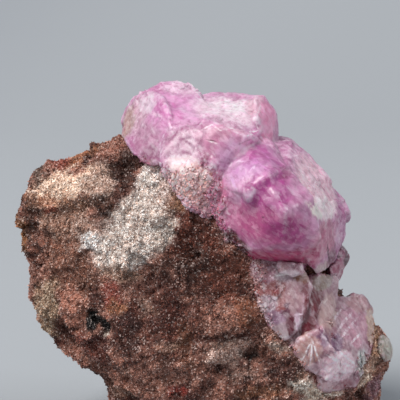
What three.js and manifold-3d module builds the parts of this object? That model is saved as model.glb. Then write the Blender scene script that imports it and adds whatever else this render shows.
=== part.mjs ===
// A hand specimen of cobaltoan calcite: two masses of pink calcite crystals grown into a brown, sugary
// lump of host rock. Millimetres, +Z up. The face that shows best looks along -Y.
import * as THREE from "three";
import { ConvexGeometry } from "three/addons/geometries/ConvexGeometry.js";
import { ImprovedNoise } from "three/addons/math/ImprovedNoise.js";
import { mergeVertices } from "three/addons/utils/BufferGeometryUtils.js";
import Module from "manifold-3d";

const wasm = await Module();
wasm.setup();
const noise = new ImprovedNoise();
const weldDistance = 1e-4; // corners nearer than this are one corner

// Driving dimensions
const rockHeart = new THREE.Vector3(0.5, 0, 23); // every ray from here leaves the rock once
const rockFrontDepth = 17.5; // from the heart to the front face
const rockBackDepth = 17;
const rockSquareness = 3.4; // 2 is an ellipsoid, more is boxier
const rockDetail = 16; // splits of each edge of the icosahedron
const contactGap = 0.3; // between a crystal and the rock around it
const footLevel = 0; // the rock is cut off flat here
const cutterSize = 120; // a box wider than the rock

// The rock's outline seen from the front, as [x, z], from the right foot over the top to the left foot.
const rockOutline = [
  [25.5, -2], [27.6, 2], [28.4, 5], [28.9, 7.7], [29.1, 10.4], [29.8, 12.2], [29.8, 14.4], [29, 16.6],
  [27.6, 18], [25.6, 19.4], [22.6, 20.4], [20.8, 23], [20.6, 26.7], [19.4, 30.4], [15.6, 35.6],
  [10.9, 40.2], [6.4, 43.9], [1.9, 46], [-3.7, 47.4], [-8.5, 48], [-11.2, 49.4], [-12.8, 49.8],
  [-13, 48.4], [-14.2, 47.9], [-15.9, 46.9], [-18.8, 46.3], [-22.8, 45.4], [-25.7, 44.4], [-27, 43],
  [-27.6, 41.3], [-28.8, 39.2], [-29.6, 37.6], [-29.2, 35.8], [-29.6, 33.2], [-29.8, 31.4], [-28.9, 29.7],
  [-27.2, 28.8], [-27, 26.7], [-27.3, 24.4], [-27.8, 23], [-26.8, 20.4], [-25.9, 17.1], [-23.8, 14.4],
  [-21.6, 12.4], [-19.2, 11.2], [-17.4, 9.7], [-15.9, 7.9], [-15.7, 5], [-15.3, 1.7], [-14, -2],
];

// Broken faces that flatten the rock: a point on each and the direction it looks in.
const rockFaces = [
  { name: "top shelf", at: [-20, -9, 41.6], looks: [-0.3, -0.34, 0.88] },
  { name: "left front", at: [-19.5, -10, 30], looks: [-0.5, -0.86, 0.08] },
  { name: "pale front", at: [-11.5, -15.2, 36], looks: [-0.26, -0.9, 0.36] },
  { name: "dark front", at: [2, -17, 27], looks: [0.1, -0.99, 0.02] },
  { name: "under left", at: [-18, -8, 15], looks: [-0.62, -0.62, -0.42] },
  { name: "lower front", at: [0, -15.6, 10], looks: [-0.08, -0.96, -0.22] },
  { name: "right front", at: [25.4, -9.7, 12], looks: [0.64, -0.76, 0.05] },
  { name: "left end", at: [-28.6, 3, 30], looks: [-0.97, 0.15, 0.05] },
  { name: "back upper left", at: [-14, 12, 38], looks: [-0.42, 0.72, 0.55] },
  { name: "back upper right", at: [10, 11, 36], looks: [0.5, 0.68, 0.52] },
  { name: "back left", at: [-20, 11, 24], looks: [-0.62, 0.78, -0.05] },
  { name: "back middle", at: [-2, 16, 24], looks: [0.06, 0.99, 0.05] },
  { name: "back right", at: [20, 11, 16], looks: [0.66, 0.74, -0.08] },
  { name: "back foot", at: [4, 13.5, 6], looks: [0.05, 0.9, -0.42] },
];

// Hollows and swellings of the rock's surface: negative rise is a hollow.
const rockSwells = [
  { name: "dark hollow beside the crown", at: [-12, -8, 45.5], across: 2.4, rise: -1.6 },
  { name: "pale shoulder", at: [-13, -14, 34], across: 5, rise: 0.9 },
  { name: "pale ridge", at: [-7, -15, 38], across: 3.5, rise: 0.8 },
  { name: "nose", at: [-28, -3, 32], across: 2.6, rise: 0.7 },
  { name: "notch under the nose", at: [-27, -5, 28], across: 1.8, rise: -0.8 },
  { name: "shadowed dip", at: [3, -17, 28], across: 4.5, rise: -1.1 },
  { name: "pale knob", at: [6, -17, 14], across: 3, rise: 0.9 },
  { name: "dip above the knob", at: [10, -17, 16.5], across: 1.8, rise: -1.3 },
  { name: "lower left belly", at: [-14, -11, 17], across: 4, rise: 0.8 },
  { name: "bank under the slab", at: [-6.5, -10, 42.5], across: 3, rise: 2.6 },
  { name: "bank under the apron", at: [-4, -14, 40], across: 3.6, rise: 1.2 },
  { name: "bank under the big crystal", at: [3.5, -16.5, 34.5], across: 3.6, rise: 1.5 },
  { name: "bank beside the block", at: [8, -16.5, 25], across: 4, rise: 1.2 },
  { name: "bank beside the fan", at: [12, -16.5, 18], across: 3.4, rise: 1.4 },
  { name: "bank under the fan", at: [16.5, -15, 11.5], across: 3.6, rise: 2.2 },
  { name: "back dip", at: [-6, 16, 31], across: 5, rise: -1.6 },
  { name: "back knob", at: [8, 15, 20], across: 4.5, rise: 1.4 },
];

// The rock's own noise: wavelength and height of each size of lump.
const rockLumps = [
  { across: 9, rise: 1.5 },
  { across: 4.6, rise: 1.1 },
  { across: 2.7, rise: 0.5 },
];
const lumpShift = new THREE.Vector3(11.3, 4.7, 8.1); // picks a part of the noise
const outlineLumps = 0.15; // share of the lumps that is left at the outline
const outlineBand = 0.35; // the lumps are whole where a ray leans this far to the front or back

// Chips broken off all over: each is a small flat face that takes a share of the rock's reach away.
const chipCount = 70;
const chipSeed = 5;
const chipCrowding = 1.4; // how much more the chips gather on the front and back than on the rim
const chipBand = [0.15, 0.5]; // they set in between these leans of a ray to the front or back
const chipTilt = 0.3; // how far a chip's face may lean from facing straight out
const chipBite = [0.015, 0.05]; // least and most share taken at its middle
const chipReach = [4, 9]; // a chip is whole this near its middle, and fades out this far from it

// Each crystal is the hull of its corners: those on its open faces first, then those buried behind.
const upperCrystals = {
  crown: [
    [-9, -3, 56], [-7.5, -1, 56.5], [-5.5, 0, 57], [-3.5, 0, 57], [-2, -1, 56.5], [-1, -3, 55.5],
    [0.5, -6, 54.5], [0, -12, 52.5], [-2, -14, 51.5], [-5, -13.5, 51.5], [-7, -10, 53.5],
    [-8.5, 6, 55], [-5.5, 8, 55.5], [-2, 7, 55], [0, 8, 52.5], [-2, 9, 49], [-6, 9, 50],
  ],
  leftShoulder: [
    [-12.5, -3, 49], [-12.5, 0, 50.5], [-11.5, 0, 53], [-10, -1, 55], [-8, -3, 56], [-6, -9, 55.5],
    [-5, -12.5, 53], [-5, -14, 50], [-6.5, -14.5, 46.5], [-8, -13, 46], [-10.5, -10, 47],
    [-11.5, -7, 48], [-12, 7, 51.5], [-8.5, 8, 53.5], [-6, 9, 51.5], [-11, 6, 47], [-7, 4, 45.5],
  ],
  flakySlab: [
    [-5, -14.5, 50], [-3.5, -14.5, 51.5], [-0.5, -15, 52], [0.5, -16.5, 50], [0.5, -17.5, 47.5],
    [-1, -18, 46], [-4, -17.5, 45.5], [-6, -16.5, 46], [-6.5, -16, 47.5], [-6, -15, 49],
    [-5, -5, 48.5], [-0.5, -5, 49.5], [-0.5, -7, 45], [-5.5, -7, 45],
  ],
  paleBlock: [
    [-0.5, 0, 54.5], [1.5, 2, 55], [4, 2, 55], [7, 1, 54.5], [9.5, 0, 54.5], [9.5, -5, 53.5],
    [8.5, -10, 50], [5.5, -13.5, 50], [3, -15, 51], [0, -13, 53], [-0.5, -6, 54],
    [0.5, 9, 53], [5, 10, 53.5], [9.5, 9, 52.5], [7.5, 8, 48.5], [2, 8, 49],
  ],
  roseSlope: [
    [0, -13.5, 53], [3, -15.5, 52], [6.5, -15, 50.5], [8, -11.5, 50], [9, -9.5, 49], [5.5, -15, 48.5],
    [3.5, -16, 46.5], [2, -17, 44], [0.5, -18, 45.5], [-0.5, -17, 48.5], [-0.5, -15, 51.5],
    [1, -4, 50], [7.5, -3, 47.5], [3.5, -6, 44], [1, -6, 45.5],
  ],
  rightLobe: [
    [8, -5, 55], [9.5, -2, 55], [10, -2, 54], [11, -2, 52.5], [11.5, -2, 50.5], [11.5, -3, 48],
    [10, -7, 48], [8, -9, 49], [8, -9.5, 52.5], [9.5, 6, 53.5], [11, 7, 51.5], [11.5, 7, 47.5],
    [9, 8, 49],
  ],
  lilacHead: [
    [9.5, -7, 49.5], [6, -12, 49], [3.5, -15, 47], [2.5, -17, 43.5], [6, -21.5, 43], [10, -21, 45.5],
    [12.5, -15, 45.5], [11, -8, 48], [10, 4, 46.5], [5, -2, 44], [12.5, 0, 43], [6, -6, 41],
  ],
  magentaBelly: [
    [5.5, -20, 43], [9.5, -20.5, 45], [13, -16, 45.5], [16.5, -18, 41.5], [17.5, -18, 35.5],
    [15, -19, 33.5], [12, -21, 35.5], [7, -19, 34], [3.5, -16.5, 35], [2, -17, 39], [2.5, -17.5, 42.5],
    [12, -23, 40.5], [8.5, -13.5, 31], [15, -12, 29], [5, -4, 39], [14, 0, 39.5], [17, -4, 32.5],
    [6, -6, 33],
  ],
  frostedFlank: [
    [10.5, -6, 48], [13.5, -3, 48], [16, -1, 46], [18.5, -1, 43], [20.5, -2, 40], [22.5, -3, 36.5],
    [22, -5, 32.5], [20.5, -9, 30], [17.5, -14, 29], [15.5, -17, 32.5], [16.5, -18.5, 39],
    [13, -15, 45], [13.5, 6, 45.5], [16.5, 8, 42.5], [21, 7, 37], [22, 5, 31.5], [19, 0, 28.5],
    [12.5, 2, 41],
  ],
  pinkApron: [
    [-6, -16, 45.5], [-3, -18, 46], [0.5, -18.5, 45.5], [2.5, -18, 43], [2, -17, 39.5],
    [0.5, -16.5, 38.5], [-2.5, -17, 40], [-4.5, -16.5, 43], [-3.5, -8, 42.5], [1, -8, 42.5],
    [1, -8, 38], [-2, -8, 39.5],
  ],
  backCrest: [
    [-9, 6, 53], [-6, 5, 54.6], [-2.5, 6, 54], [-1.5, 11, 51], [-4, 12.5, 48.5], [-8, 11.5, 48],
    [-11, 8, 49.5], [-9, 9, 45], [-4, 10, 44.5], [-2, 3, 46],
  ],
  backSaddle: [
    [-2, 7, 52.5], [2.5, 8.5, 54], [6.5, 6, 53.2], [7.5, 10.5, 49.5], [4, 13, 47], [-0.5, 12, 47.5],
    [1, 10, 43], [6, 9, 43.5], [3, 3, 46],
  ],
  backFlank: [
    [11, 4, 48], [14.5, 5.5, 46.5], [18.5, 8, 41.5], [20, 9, 36], [17, 12, 34.5], [12.5, 13, 38],
    [9.5, 11.5, 43.5], [12, 9, 33], [16, 2, 35], [9, 3, 42],
  ],
  sideKnob: [
    [21, -2, 37.5], [23.2, 1, 36], [23.4, 5, 34], [21.5, 8.5, 32.5], [19.5, 9, 36], [20.5, 4, 39.5],
    [19, 3, 31], [18, -1, 34],
  ],
  windowRhomb: [
    [6.2, -22, 43.6], [7.4, -22, 43.8], [7.2, -22.2, 42.2], [6.6, -22, 41.9], [6, -17, 43],
    [7.5, -17, 43], [7.5, -17, 41], [6.5, -17, 41],
  ],
};

const lowerCrystals = {
  mottledBlock: [
    [8, -16, 31.5], [10.5, -15.5, 32], [13, -16, 31.5], [15, -16, 30], [16.5, -16.5, 27.5],
    [15.5, -17.5, 24], [14, -18, 21], [12.5, -17.5, 19.5], [10.5, -17.5, 21.5], [9, -17.5, 24],
    [8, -17, 27.5], [10.5, -7, 27.5], [15.5, -7, 25.5], [14.5, -8, 20.5], [11, -8, 22],
  ],
  topRhomb: [
    [11.5, -17, 31.5], [13.5, -17, 31.5], [15, -16.5, 31], [15, -17, 30], [13.5, -17.5, 29.5],
    [12, -17.5, 30], [12.5, -12, 30], [14.5, -12, 30], [14.5, -12, 28.5], [12.5, -12, 29],
  ],
  greyBlock: [
    [15.5, -13, 28], [18, -12, 28.5], [20.5, -9, 27.5], [21, -8, 25], [21, -9, 23.5],
    [19.5, -14, 22], [17.5, -17, 20.5], [16, -17, 19.5], [15, -16.5, 21.5], [16, -16, 25.5],
    [18.5, -3, 25], [20.5, -2, 23], [18, -6, 19],
  ],
  mauveWindow: [
    [12.5, -15, 27.5], [16.5, -14.5, 27.5], [17, -15.5, 22], [15.5, -17, 18], [13.5, -17, 18.5],
    [12, -16, 22], [14, -7, 24], [16.5, -7, 24], [15.5, -8, 18],
  ],
  rightMass: [
    [19, -10, 23.5], [21.5, -7, 23.5], [23.5, -5, 23.5], [25.5, -3.5, 22.5], [26.5, -3, 21],
    [27, -5, 19.5], [26.5, -9, 16.5], [25.5, -11, 14.5], [24, -13, 13], [21, -16, 14],
    [19.5, -17.5, 17.5], [18, -17, 21], [21.5, 2, 19.5], [25, 3, 20], [26, 2, 16], [22.5, -4, 13.5],
  ],
  streakedFan: [
    [14.5, -18, 19.5], [17.5, -17.5, 21], [20, -18, 18], [21, -16.5, 14.5], [19, -17, 13],
    [16, -17.5, 15], [14, -18, 17.5], [17, -9, 16.5], [19.5, -9, 14],
  ],
  lowerFoot: [
    [17.5, -16.5, 14.5], [22, -15, 14.5], [24.5, -12, 13], [23.5, -12.5, 11], [21, -14.5, 10.5],
    [18, -16, 11.5], [20, -6, 11], [23.5, -5, 10],
  ],
};

const edgeCrystal = [
  [20.5, -6, 32.5], [21.5, -7, 32], [23, -5, 30], [22.5, -5.5, 29], [21, -7, 26.5], [20, -10, 27.5],
  [19.5, -11, 30.5], [20, -10, 32], [22, 2, 30], [23, 2, 28], [21.5, 2, 26], [20.5, 1, 28],
];

const rimPlate = [
  [28.4, -5.6, 17], [29.4, -5.2, 16.2], [30, -5, 14.5], [29.9, -5.2, 13.6], [29, -6.8, 13.3],
  [28.1, -7.6, 14.7], [28, -6.8, 16],
  [28.6, -2.5, 16], [29.9, -2, 14.2], [29.4, -2, 13.2], [28.3, -3, 13.8],
];

// Cleavage plates that stand out of a mass's faces as low terraces. Their edges follow one grain.
// The front has its steps in the crystals' own corners, so the plates lie behind it.
const plateShear = 0.27; // cotangent of calcite's 75 degree cleavage angle
const plateThickness = 2; // most of it is sunk in the face
const plateLean = 0.06; // how far a plate may tilt from its face
const plateFreeFront = -3; // no plate lies further forward than this
const plateSkin = 0.5; // no plate stands further out than the crystals grown by this much
const plateProud = [0.15, 0.4]; // how far a plate's middle stands out of its face
const upperPlates = { seed: 7, count: 20, length: [3, 8], width: [1.6, 4], grain: [0.5, 0.2, -0.8] };
const lowerPlates = { seed: 19, count: 8, length: [2, 5], width: [1.4, 3], grain: [0.3, 0.1, 0.9] };

// Open gaps cut into the rock.
const crevice = [
  [13, -24, 32.5], [19.5, -24, 32.5], [19.5, -24, 30], [15, -24, 30], [15, -9, 28], [20, -8, 27.5],
  [20, -8, 26], [16, -9, 26.5],
];
const pit = [
  [-17.5, -18, 23.5], [-16, -18, 23.5], [-15, -18, 21], [-16.5, -18, 21.5], [-17.5, -9, 21],
  [-16.5, -9, 21], [-16, -9, 19.5],
];

// A three.js geometry as a manifold-3d solid.
function solidOf(geometry) {
  const bare = new THREE.BufferGeometry();
  bare.setAttribute("position", geometry.getAttribute("position"));
  if (geometry.index) bare.setIndex(geometry.index);
  const merged = mergeVertices(bare, weldDistance);
  return new wasm.Manifold(new wasm.Mesh({
    numProp: 3,
    vertProperties: new Float32Array(merged.attributes.position.array),
    triVerts: new Uint32Array(merged.index.array),
  }));
}

// A manifold-3d solid as a flat-shaded three.js geometry.
function geometryOf(solid) {
  const mesh = solid.getMesh();
  const geometry = new THREE.BufferGeometry();
  geometry.setAttribute("position", new THREE.BufferAttribute(mesh.vertProperties, mesh.numProp));
  geometry.setIndex(new THREE.BufferAttribute(mesh.triVerts, 1));
  return geometry;
}

// The hull of a crystal's corners, with each corner pushed out from the middle by grow.
function hull(corners, grow = 0) {
  const points = corners.map((c) => new THREE.Vector3(...c));
  const middle = points.reduce((sum, p) => sum.add(p), new THREE.Vector3()).divideScalar(points.length);
  for (const p of points) {
    const out = p.clone().sub(middle);
    p.addScaledVector(out.normalize(), grow);
  }
  return solidOf(new ConvexGeometry(points));
}

// A repeatable run of random numbers from 0 to 1.
function randomRun(seed) {
  let state = seed;
  return () => {
    state = (state * 1664525 + 1013904223) % 4294967296;
    return state / 4294967296;
  };
}

function joined(crystals, grow = 0) {
  return Object.values(crystals).map((corners) => hull(corners, grow)).reduce((a, b) => a.add(b));
}

// The mass with its plates, each laid on an open face at a random spot, clear of the neighbours.
// Nothing of a plate reaches past the skin.
function terraced(mass, skin, plates, neighbours) {
  const random = randomRun(plates.seed);
  const between = ([low, high]) => low + (high - low) * random();
  const skew = () => (random() * 2 - 1) * plateLean;
  const mesh = geometryOf(mass);
  const position = mesh.getAttribute("position");
  const corner = (i) => new THREE.Vector3().fromBufferAttribute(position, mesh.index.getX(i));
  const grain = new THREE.Vector3(...plates.grain).normalize();
  const shear = new THREE.Matrix4().makeShear(0, 0, plateShear, 0, 0, 0);
  const faces = [];
  let area = 0;
  for (let i = 0; i < mesh.index.count; i += 3) {
    const face = new THREE.Triangle(corner(i), corner(i + 1), corner(i + 2));
    area += face.getArea();
    faces.push({ face, upTo: area });
  }
  let result = mass;
  let made = 0;
  while (made < plates.count) {
    const pick = random() * area;
    const { face } = faces.find((f) => f.upTo >= pick);
    const [u, v] = [random(), random()];
    const [s, t] = u + v > 1 ? [1 - u, 1 - v] : [u, v];
    const spot = face.a.clone().addScaledVector(face.b.clone().sub(face.a), s)
      .addScaledVector(face.c.clone().sub(face.a), t);
    if (spot.y < plateFreeFront) continue;
    const tilt = new THREE.Vector3(skew(), skew(), skew());
    const out = face.getNormal(new THREE.Vector3()).add(tilt).normalize();
    const across = out.clone().cross(grain).normalize();
    const along = across.clone().cross(out);
    const size = [between(plates.length), between(plates.width), plateThickness];
    spot.addScaledVector(out, between(plateProud) - plateThickness / 2);
    const place = new THREE.Matrix4().makeBasis(along, across, out).setPosition(spot);
    const shape = (grow) => solidOf(new THREE.BoxGeometry(...size.map((side) => side + grow))
      .applyMatrix4(shear).applyMatrix4(place));
    const room = shape(2 * contactGap);
    if (neighbours.some((other) => !other.intersect(room).isEmpty())) continue;
    result = result.add(shape(0).intersect(skin));
    made += 1;
  }
  return result;
}

// How far the outline lies from the heart in the direction of angle.
function outlineReach(angle) {
  const dx = Math.cos(angle);
  const dz = Math.sin(angle);
  let reach = 0;
  rockOutline.forEach(([ax, az], i) => {
    const [bx, bz] = rockOutline[(i + 1) % rockOutline.length];
    const px = ax - rockHeart.x;
    const pz = az - rockHeart.z;
    const ex = bx - ax;
    const ez = bz - az;
    const cross = dx * ez - dz * ex;
    if (Math.abs(cross) < 1e-9) return;
    const along = (px * ez - pz * ex) / cross;
    const share = (px * dz - pz * dx) / cross;
    if (along > 0 && share >= 0 && share <= 1) reach = Math.max(reach, along);
  });
  return reach;
}

// The rock before any face is broken off, in the direction of a unit vector from the heart.
function unbroken(way) {
  const inPlane = Math.hypot(way.x, way.z);
  const depth = Math.abs(way.y);
  const even = (inPlane ** rockSquareness + depth ** rockSquareness) ** (-1 / rockSquareness);
  const reach = outlineReach(Math.atan2(way.z, way.x)) * even;
  const deep = (way.y < 0 ? rockFrontDepth : rockBackDepth) * even;
  return new THREE.Vector3(way.x * reach, way.y * deep, way.z * reach);
}

function cutBack(point, faces) {
  const whole = point.clone();
  for (const { looks, limit, middle } of faces) {
    const now = looks.dot(point);
    if (now <= limit) continue;
    const fade = middle ? 1 - THREE.MathUtils.smoothstep(whole.distanceTo(middle), ...chipReach) : 1;
    point.multiplyScalar(1 - fade * (1 - limit / now));
  }
  return point;
}

const brokenFaces = rockFaces.map((face) => {
  const looks = new THREE.Vector3(...face.looks).normalize();
  return { looks, limit: looks.dot(new THREE.Vector3(...face.at).sub(rockHeart)) };
});

const chips = (() => {
  const random = randomRun(chipSeed);
  const lean = () => (random() * 2 - 1) * chipTilt;
  return Array.from({ length: chipCount }, () => {
    const away = Math.acos(2 * random() - 1);
    const round = random() * 2 * Math.PI;
    const way = new THREE.Vector3(Math.sin(away) * Math.cos(round), Math.cos(away) * chipCrowding,
      Math.sin(away) * Math.sin(round)).normalize();
    const point = cutBack(unbroken(way), brokenFaces);
    const looks = way.clone().add(new THREE.Vector3(lean(), lean(), lean())).normalize();
    const bite = chipBite[0] + (chipBite[1] - chipBite[0]) * random();
    return { looks, limit: looks.dot(point) * (1 - bite), middle: point };
  });
})();

// The rock's surface: its broken faces and chips, then its swells and lumps.
function rockPoint(way) {
  const whole = cutBack(unbroken(way), brokenFaces);
  const lean = Math.abs(way.y);
  const chipped = cutBack(whole.clone(), chips);
  const point = whole.clone().lerp(chipped, THREE.MathUtils.smoothstep(lean, ...chipBand));
  const outward = point.clone().normalize();
  point.add(rockHeart);
  const inside = THREE.MathUtils.smoothstep(lean, 0, outlineBand);
  const lumpShare = outlineLumps + (1 - outlineLumps) * inside;
  for (const swell of rockSwells) {
    const away = point.distanceTo(new THREE.Vector3(...swell.at)) / swell.across;
    point.addScaledVector(outward, swell.rise * Math.exp(-away * away));
  }
  for (const lump of rockLumps) {
    const spot = point.clone().divideScalar(lump.across).add(lumpShift);
    const height = noise.noise(spot.x, spot.y, spot.z);
    point.addScaledVector(outward, height * lump.rise * lumpShare);
  }
  return point;
}

function rockBlank() {
  const ball = mergeVertices(new THREE.IcosahedronGeometry(1, rockDetail).deleteAttribute("normal")
    .deleteAttribute("uv"));
  const position = ball.getAttribute("position");
  const way = new THREE.Vector3();
  for (let i = 0; i < position.count; i++) {
    way.fromBufferAttribute(position, i).normalize();
    const point = rockPoint(way);
    position.setXYZ(i, point.x, point.y, point.z);
  }
  return solidOf(ball);
}

// A box that removes everything below the foot.
function belowFoot() {
  const cutter = new THREE.BoxGeometry(cutterSize, cutterSize, cutterSize);
  return solidOf(cutter.translate(0, 0, footLevel - cutterSize / 2));
}

// The largest of the bodies that a cut leaves.
function largestBody(solid) {
  return solid.decompose().reduce((a, b) => (a.volume() > b.volume() ? a : b));
}

const cornerGrowth = 2 * contactGap; // a corner moves about twice as far as the faces that meet in it
const upperRoom = joined(upperCrystals, cornerGrowth);
const lowerRoom = joined(lowerCrystals, cornerGrowth);
const rock = rockBlank()
  .subtract(belowFoot())
  .subtract(hull(crevice))
  .subtract(hull(pit))
  .subtract(upperRoom)
  .subtract(lowerRoom)
  .subtract(hull(edgeCrystal, cornerGrowth))
  .subtract(hull(rimPlate, cornerGrowth));
const edge = hull(edgeCrystal).subtract(upperRoom).subtract(lowerRoom);
const plate = hull(rimPlate);
const lowerPlain = joined(lowerCrystals).subtract(upperRoom);
const upperSkin = joined(upperCrystals, plateSkin);
const lowerSkin = joined(lowerCrystals, plateSkin);
const upper = terraced(joined(upperCrystals), upperSkin, upperPlates, [rock, lowerPlain, edge]);
const lower = terraced(lowerPlain, lowerSkin, lowerPlates, [rock, upper, edge, plate]);

const rockMaterial = new THREE.MeshStandardMaterial({ color: "#6b4a40", roughness: 0.9, metalness: 0 });
const pinkMaterial = new THREE.MeshStandardMaterial({ color: "#c979a8", roughness: 0.35, metalness: 0 });
const paleMaterial = new THREE.MeshStandardMaterial({ color: "#b49aa4", roughness: 0.4, metalness: 0 });
const plateMaterial = new THREE.MeshStandardMaterial({ color: "#9d978a", roughness: 0.4, metalness: 0 });

function piece(name, solid, material) {
  const mesh = new THREE.Mesh(geometryOf(largestBody(solid)), material);
  mesh.name = name;
  return mesh;
}

const specimen = new THREE.Group();
specimen.add(
  piece("host_rock", rock, rockMaterial),
  piece("upper_calcite", upper, pinkMaterial),
  piece("lower_calcite", lower, paleMaterial),
  piece("edge_crystal", edge, pinkMaterial),
  piece("rim_plate", plate, plateMaterial),
);

// The origin is the middle of the foot, under the middle of the specimen's box.
const box = new THREE.Box3().setFromObject(specimen);
specimen.position.set(-(box.min.x + box.max.x) / 2, -(box.min.y + box.max.y) / 2, -box.min.z);

export default specimen;
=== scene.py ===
# Looks of a hand specimen of cobaltoan calcite: pink crystals grown into a lump of brown, sugary rock.
import math

import bmesh
import bpy
import numpy as np
from mathutils import Matrix, Vector, noise
from mathutils.bvhtree import BVHTree


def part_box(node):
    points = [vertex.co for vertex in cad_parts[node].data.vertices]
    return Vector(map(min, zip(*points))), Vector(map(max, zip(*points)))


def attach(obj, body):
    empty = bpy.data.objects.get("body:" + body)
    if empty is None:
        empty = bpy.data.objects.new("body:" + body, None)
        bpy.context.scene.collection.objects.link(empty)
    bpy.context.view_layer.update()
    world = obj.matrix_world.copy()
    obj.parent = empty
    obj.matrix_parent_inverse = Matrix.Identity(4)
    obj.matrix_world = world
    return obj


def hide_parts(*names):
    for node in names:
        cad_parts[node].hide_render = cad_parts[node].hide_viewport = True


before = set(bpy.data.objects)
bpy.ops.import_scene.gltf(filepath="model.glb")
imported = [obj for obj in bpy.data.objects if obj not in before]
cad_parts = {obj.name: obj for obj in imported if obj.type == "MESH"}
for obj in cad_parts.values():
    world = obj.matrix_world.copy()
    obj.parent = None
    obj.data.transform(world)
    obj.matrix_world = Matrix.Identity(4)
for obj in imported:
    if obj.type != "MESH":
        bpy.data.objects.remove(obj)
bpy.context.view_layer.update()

# Camera. It stands a third of a metre in front of the specimen and looks a little down on it. The part is
# drawn in millimetres about the middle of the rock, and the rim plate's lowest corner ties that to the frame.
millimetre = 0.001
rim_plate_corner = Vector((28, -7.6, 13.2))
drawing_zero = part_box("rim_plate")[0] / millimetre - rim_plate_corner
look_down = math.radians(10)
camera_distance = 320
looked_at = drawing_zero + Vector((-0.5, 0, 38.1))
focal_length = 180
sensor_width = 36
picture_size = 400

camera_data = bpy.data.cameras.new("camera")
camera_data.lens = focal_length
camera_data.sensor_width = sensor_width
camera_data.clip_start = 0.01
camera = bpy.data.objects.new("camera", camera_data)
bpy.context.scene.collection.objects.link(camera)
camera.rotation_euler = (math.radians(90) - look_down, 0, 0)
towards_camera = Vector((0, -math.cos(look_down), math.sin(look_down)))
camera.location = (looked_at + towards_camera * camera_distance) * millimetre
bpy.context.scene.camera = camera
bpy.context.scene.view_settings.view_transform = "Standard"

solid_trees = {
    name: BVHTree.FromPolygons(
        [corner.co / millimetre for corner in node.data.vertices],
        [tuple(face.vertices) for face in node.data.polygons])
    for name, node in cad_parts.items()
}


def seen_at(across, down):
    """The place on the solids, in millimetres, that a pixel of the photograph shows."""
    pixel = sensor_width / focal_length / picture_size
    ray = Vector(((across - picture_size / 2) * pixel, (picture_size / 2 - down) * pixel, -1))
    ray.rotate(camera.rotation_euler)
    start = camera.location / millimetre
    hits = [tree.ray_cast(start, ray) for tree in solid_trees.values()]
    places = [hit[0] for hit in hits if hit[0] is not None]
    return min(places, key=lambda place: (place - start).length)


# Host rock. A lump of iron-stained carbonate rock made of tightly grown sugary grains, broken off its bed
# on all sides, with paler bleached patches, rusty stains and a dark hollow beside the crystals.
rock_mesh_size = 0.45
rock_skin = 0.28  # the grains stand on the ground, which is pulled in by this much
rock_climb = 0.5  # the rock rises to the crystals, which are rooted in it
rock_chips = ((6.5, 0.2), (2.6, 0.24), (1.1, 0.2))
rock_swell_size = 9
rock_swell_height = 0.45
bedding_rise = 0.24  # faint layers run through the rock and rise to the right
bedding_tilt = math.radians(-28)
bedding_stretch = Vector((5.5, 3.0, 1.0))
foot_margin = 1.5
closing_slack = 0.12  # what fills a gap stays this much below the faces around it
noise.seed_set(1)  # else noise_vector, and the rock with it, changes from run to run

# Low ridges and hollows of the rock, along lines seen in the photograph: line, half width and rise.
rock_ridges = {
    "shelf edge": (((24, 206), (48, 204), (75, 200), (100, 192)), 0.8, 0.5),
    "under the shelf": (((34, 218), (60, 214), (88, 208)), 1.2, -0.8),
    "shelf crest": (((64, 163), (82, 154), (112, 146)), 0.8, 0.3),
    "beside the nose": (((31, 214), (33, 232), (36, 250)), 0.9, -0.7),
    "lower left ridge": (((104, 326), (88, 337), (74, 348)), 0.7, 0.5),
    "under the ridge": (((104, 340), (88, 348), (78, 354)), 1.2, -0.8),
    "pit": (((92, 315), (97, 320), (106, 329)), 1.1, -1.9),
    "speck in the pit": (((107, 336), (108, 337)), 0.5, 0.4),
    "dark hollow": (((130, 158), (128, 172), (120, 184)), 1.5, -0.5),
    "pale ridge": (((120, 222), (140, 212), (160, 204)), 0.8, 0.35),
    "lower pale ridge": (((112, 240), (135, 234), (158, 222)), 0.8, 0.3),
    "dark edge of the patch": (((100, 205), (108, 222), (98, 240)), 1.0, -0.4),
    "right rim of the patch": (((174, 212), (172, 232), (164, 256)), 1.0, -0.5),
    "low hollow": (((244, 350), (252, 355), (262, 352)), 1.0, -0.8),
    "pale knob": (((222, 356), (234, 350), (246, 346)), 1.2, 0.45),
    "lower pale knob": (((234, 374), (246, 370), (258, 366)), 1.0, 0.4),
    "middle dip": (((150, 296), (157, 306), (170, 300)), 1.0, -0.45),
    "left outline": (((38, 262), (36, 275), (37, 300)), 2.0, -1.2),
    "lower left outline": (((58, 332), (66, 346)), 2.6, -1.8),
    "outline under the ridge": (((88, 364), (100, 380)), 1.7, -0.8),
    "right foot outline": (((376, 364), (376, 394)), 1.8, -0.9),
    "top outline": (((94, 151), (106, 147)), 1.3, -0.6),
    "nose tip outline": (((22, 208), (21, 222)), 1.6, -0.8),
}

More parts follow.
